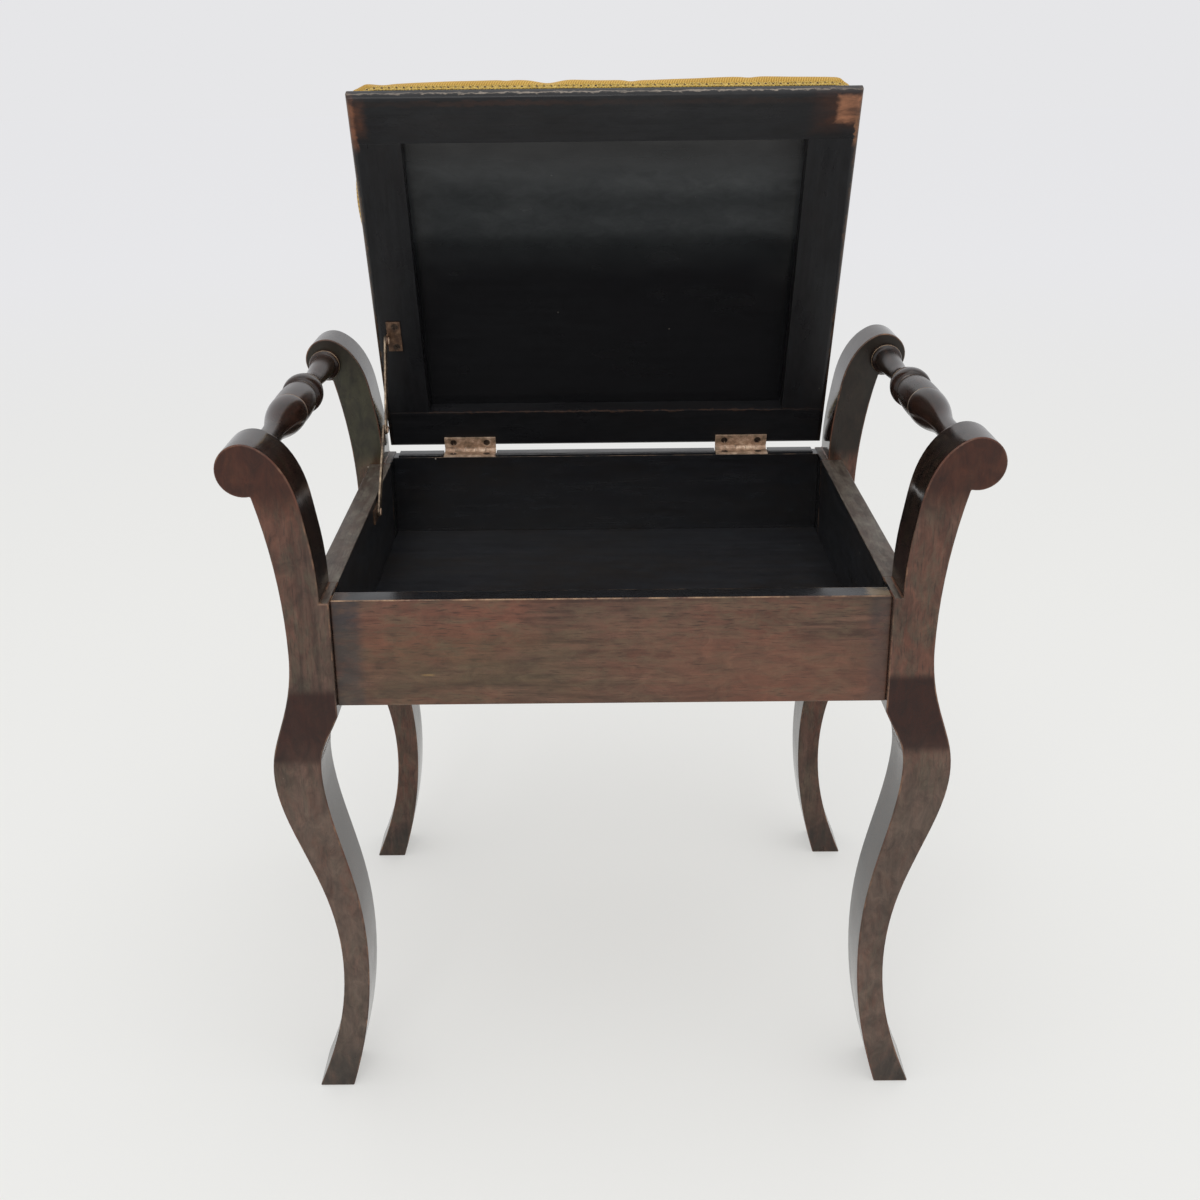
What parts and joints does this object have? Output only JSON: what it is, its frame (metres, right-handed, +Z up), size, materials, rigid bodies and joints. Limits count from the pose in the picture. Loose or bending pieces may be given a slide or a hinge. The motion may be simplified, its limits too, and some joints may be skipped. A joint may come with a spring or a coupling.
{
  "type": "storage piano stool",
  "caption": "Old piano stool with shaped legs, scrolled arm ends, turned side handles and a music box under a hinged padded seat held open by a folding stay.",
  "frame": {"origin": "on the floor, at the middle of the box round the stool with its lid open", "axes": "+X to the sitter's right, +Y from the front legs to the hinged back, +Z up"},
  "size_m": [0.5698, 0.4036, 0.8067],
  "materials": {
    "mahogany": "french polish, worn",
    "ebonised_wood": "black stain, dull",
    "aged_brass": "tarnished",
    "dark_steel": "dull",
    "stuffing": "fibre",
    "gold_fabric": "woven"
  },
  "bodies": {
    "frame": {"leg_front_left": "mahogany", "leg_front_right": "mahogany", "leg_back_left": "mahogany", "leg_back_right": "mahogany", "front_rail": "mahogany", "back_rail": "mahogany", "left_end_rail": "mahogany", "right_end_rail": "mahogany", "bottom_panel": "ebonised_wood", "handle_left": "mahogany", "handle_right": "mahogany", "hinge_left_rail_leaf": "aged_brass", "hinge_right_rail_leaf": "aged_brass", "stay_box_bracket": "aged_brass", "hinge_left_pin": "dark_steel", "hinge_right_pin": "dark_steel", "stay_box_rivet": "aged_brass"},
    "lid": {"lid_front_rail": "ebonised_wood", "lid_rear_rail": "ebonised_wood", "lid_left_stile": "ebonised_wood", "lid_right_stile": "ebonised_wood", "lid_panel": "ebonised_wood", "seat_filling": "stuffing", "seat_cover": "gold_fabric", "hinge_left_lid_leaf": "aged_brass", "hinge_right_lid_leaf": "aged_brass", "stay_lid_bracket": "aged_brass", "stay_lid_rivet": "aged_brass"},
    "stay_upper": {"stay_upper_arm": "aged_brass", "stay_elbow_rivet": "aged_brass"},
    "stay_lower": {"stay_lower_arm": "aged_brass"}
  },
  "joints": [
    {"name": "lid_hinge", "type": "hinge", "parent": "frame", "child": "lid", "pos_m": [0, 0.1667, 0.4488], "axis": [-1, 0, 0], "range_deg": [-69.5, 0]},
    {"name": "stay_upper_pivot", "type": "hinge", "parent": "lid", "child": "stay_upper", "pos_m": [-0.2052, 0.11403, 0.57398], "axis": [-1, 0, 0], "range_deg": [-34.7, 0]},
    {"name": "stay_lower_pivot", "type": "hinge", "parent": "frame", "child": "stay_lower", "pos_m": [-0.2073, 0.0307, 0.4344], "axis": [-1, 0, 0], "range_deg": [0, 46.4]}
  ],
  "couplings": [
    {"joint": "stay_upper_pivot", "follows": "lid_hinge", "ratio": 0.4985},
    {"joint": "stay_lower_pivot", "follows": "lid_hinge", "ratio": -0.66669}
  ]
}
